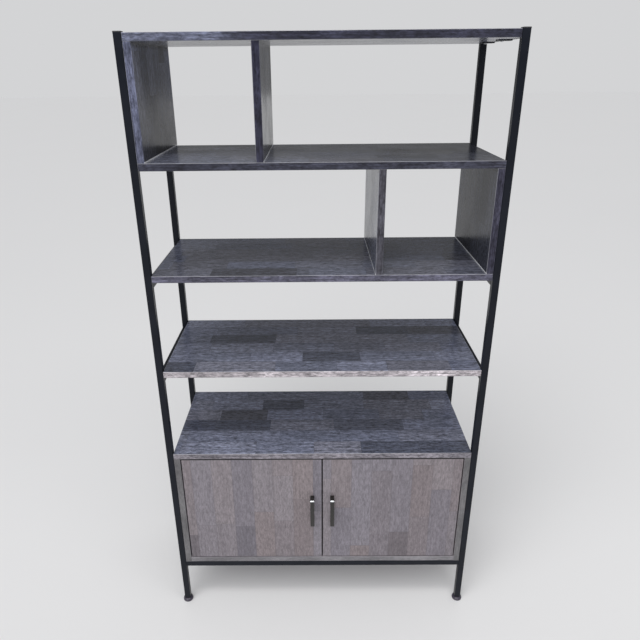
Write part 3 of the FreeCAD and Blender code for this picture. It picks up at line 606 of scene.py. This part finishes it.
footPad = turned("footPad", footShape, 48)
smoothed(footPad, 40)
low, high = (Vector(corner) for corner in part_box("foot_stud_front_left"))
pitch, length = stud["pitch"], high.z - low.z
crest = (high.x - low.x) / 2
core, count = crest - stud["ridge"], int(length / pitch)
rest = length - count * pitch
thread = turned("thread", [(core, 0), (crest, pitch / 2), (core, pitch)], stud["steps"])
tip = turned("tip", [(0, 0), (core * stud["taper"], 0), (core, rest), (0, rest)], stud["steps"])
for corner in corners:
    low, high = (Vector(spot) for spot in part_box(f"foot_{corner}"))
    centre = Vector(((low.x + high.x) / 2, (low.y + high.y) / 2, low.z))
    pad = copied(footPad, centre)
    pad.name = pad.data.name = f"footPad_{corner}"
    placed(pad, f"{corner}_foot", "foot_plastic", f"foot_{corner}")
    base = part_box(f"foot_stud_{corner}")[0][2]
    rings = [copied(thread, (centre.x, centre.y, base + number * pitch)) for number in range(count)]
    end = copied(tip, (centre.x, centre.y, base + count * pitch))
    rod = joined(f"studThread_{corner}", rings + [end])
    smoothed(rod, 20)
    placed(rod, f"{corner}_foot", "zinc_steel", f"foot_stud_{corner}")
for spare in (thread, tip, footPad):
    bpy.data.objects.remove(spare)
print("feet and studs")


# Screws with a cross recess: axis, head thickness, shank radius, body

screwSorts = {
    "upright_screws": (2, 0.005, 0.0025, "root"), "shelf_tab_screws": (2, 0.0025, 0.002, "root"),
    "cabinet_base_screws": (2, 0.0025, 0.002, "root"), "catch_screws": (2, 0.0015, 0.0015, "root"),
    "cabinet_leg_screws": (0, 0.004, 0.0025, "root"), "hinge_plate_screws": (0, 0.002, 0.002, "root"),
}
for side in sides:
    screwSorts[f"hinge_cup_screws_{side}"] = (1, 0.0015, 0.00175, f"{side}_door")
    screwSorts[f"handle_screws_{side}"] = (1, 0.0025, 0.002, f"{side}_door")
# Radius and depth of the head's outline, as shares of its own radius and thickness
domeShape = [(0, 0), (0.55, 0.04), (0.86, 0.22), (1, 0.5), (1, 1)]
recess = {"arm": 0.62, "slot": 0.13, "throughHead": 0.8, "deepest": 0.5, "taper": 0.55}
shankPoint = 0.7  # the point's length, as a share of the shank's radius


def crossScrew(radius, head, shank, length):
    # The head's top is at height 0, with the shank below
    dome = [(radius * out, -head * down) for out, down in domeShape]
    tail = [(shank, -head), (shank, -length + shank * shankPoint), (0, -length)]
    screw = turned("screw", dome + tail, 24)
    arm, slot = radius * recess["arm"], radius * recess["slot"]
    depth = min(head * recess["throughHead"], radius * recess["deepest"])
    for reach in ((arm, slot), (slot, arm)):
        tool = addBlock("recess", (-reach[0], -reach[1], -depth), (reach[0], reach[1], head))
        editing(tool)
        pick(tool, "FACE", lambda face: face.normal.z < -0.9)
        bpy.ops.transform.resize(value=(recess["taper"], recess["taper"], 1), center_override=(0, 0, 0))
        bpy.ops.object.mode_set(mode="OBJECT")
        applied(screw, "BOOLEAN", object=tool, operation="DIFFERENCE", solver="EXACT")
        bpy.data.objects.remove(tool)
    smoothed(screw, 30)
    return screw


for label, (axis, head, shank, body) in screwSorts.items():
    heads = []
    for low, high in solidBoxes(label):
        size, centre = high - low, (low + high) / 2
        radius, length = size[(axis + 1) % 3] / 2, size[axis]
        if not heads:
            pattern = crossScrew(radius, head, shank, length)
        # Heads face down, to the back, or sideways to the cabinet's middle
        upward = Vector((0, 0, 0))
        upward[axis] = {2: -1, 1: 1, 0: -1 if centre.x > 0 else 1}[axis]
        turn = upward.to_track_quat("Z", "Y").to_matrix()
        heads.append(copied(pattern, centre + upward * length / 2, turn))
    bpy.data.objects.remove(pattern)
    placed(joined("cross_" + label, heads), body, "zinc_steel", label)
print("screws")


# Leg caps: a softened plastic head with a dished top, and its plug

capShape = {"head": 0.003, "soft": 0.0016, "rim": 0.0022, "dish": 0.0004, "plugSoft": 0.0008, "plugGap": 0.08}

capPieces = []
for low, high in solidBoxes("leg_caps"):
    head = addBlock("cap", (low.x, low.y, high.z - capShape["head"]), high)
    editing(head)
    pick(head, "FACE", lambda face: face.normal.z > 0.9)
    bpy.ops.mesh.bevel(offset=capShape["soft"], segments=4, affect="EDGES")
    bpy.ops.object.mode_set(mode="OBJECT")
    editing(head)
    pick(head, "FACE", lambda face: face.normal.z > 0.99)
    bpy.ops.mesh.inset(thickness=capShape["rim"], depth=0)
    bpy.ops.mesh.inset(thickness=capShape["rim"] / 2, depth=-capShape["dish"])
    bpy.ops.object.mode_set(mode="OBJECT")
    gap = (high.x - low.x) * capShape["plugGap"]
    plugTop = (high.x - gap, high.y - gap, high.z - capShape["head"])
    plug = addBlock("plug", (low.x + gap, low.y + gap, low.z), plugTop)
    applied(plug, "BEVEL", width=capShape["plugSoft"], segments=2)
    capPieces += [head, plug]
caps = joined("capSet", capPieces)
smoothed(caps)
placed(caps, "root", "cap_plastic", "leg_caps")
print("leg caps")


# Room, lights and camera

studio = {
    "floorColour": (0.757, 0.757, 0.763, 1), "floorPaler": (0.767, 0.767, 0.773, 1), "floorSize": 90.0,
    "floorRough": 0.7, "floorCloud": 0.6,
    "skyColour": (0.98, 0.985, 1.0, 1), "skyLight": 0.50, "skyGloss": 0.24, "skySeen": 0.667,
    "sunTurn": (38, 0, -22), "sunStrength": 1.7, "sunSpread": 55,
    "lens": 32.9, "shift": (0.0143, 0.0035), "farthest": 200,
    "cameraPlace": (-0.0203, -1.7452, 1.7769), "yaw": 0.433, "pitch": -23.41, "roll": -0.563,
}
lights = {  # place, aim, breadth, height, watts, colour
    "overhead": ((0.2, -1.2, 3.4), (0, 0, 1.2), 2.4, 0.5, 20.0, (1.0, 0.985, 0.96)),
}


def aimed(place, target):
    return (Vector(target) - Vector(place)).to_track_quat("-Z", "Y").to_euler()


bpy.ops.mesh.primitive_plane_add(size=studio["floorSize"])
floor = bpy.context.object
floor.name = "floor"
material, tree, shader = newMaterial("paleFloor", Roughness=studio["floorRough"])
place = addNode(tree, "ShaderNodeTexCoord").outputs["Object"]
cloud = noise(tree, place, studio["floorCloud"])
tree.links.new(mixColour(tree, cloud, studio["floorColour"], studio["floorPaler"]), shader["Base Color"])
floor.data.materials.append(material)

world = bpy.data.worlds.new("softRoom")
bpy.context.scene.world = world
world.use_nodes = True
background = world.node_tree.nodes["Background"]
background.inputs["Color"].default_value = studio["skyColour"]
path = addNode(world.node_tree, "ShaderNodeLightPath").outputs
strength = studio["skyLight"]
for ray, level in (("Is Glossy Ray", "skyGloss"), ("Is Camera Ray", "skySeen")):
    inputs = {0: path[ray], 2: strength, 3: studio[level]}
    strength = addNode(world.node_tree, "ShaderNodeMix", inputs).outputs[0]
world.node_tree.links.new(strength, background.inputs["Strength"])

bpy.ops.object.light_add(type="SUN", rotation=[math.radians(angle) for angle in studio["sunTurn"]])
sun = bpy.context.object
sun.name = "softSun"
sun.data.energy = studio["sunStrength"]
sun.data.angle = math.radians(studio["sunSpread"])

for label, (place, target, breadth, height, watts, colour) in lights.items():
    bpy.ops.object.light_add(type="AREA", location=place, rotation=aimed(place, target))
    light = bpy.context.object
    light.name = label
    light.data.shape = "RECTANGLE"
    light.data.size, light.data.size_y = breadth, height
    light.data.energy, light.data.color = watts, colour

turn = Matrix.Rotation(math.radians(studio["yaw"]), 3, "Z")
turn @= Matrix.Rotation(math.radians(90 + studio["pitch"]), 3, "X")
turn @= Matrix.Rotation(math.radians(studio["roll"]), 3, "Z")
bpy.ops.object.camera_add(location=studio["cameraPlace"], rotation=turn.to_euler())
camera = bpy.context.object
camera.data.lens = studio["lens"]
camera.data.shift_x, camera.data.shift_y = studio["shift"]
camera.data.clip_end = studio["farthest"]
bpy.context.scene.camera = camera
bpy.context.scene.view_settings.view_transform = "Standard"
print("floor, lights and camera")
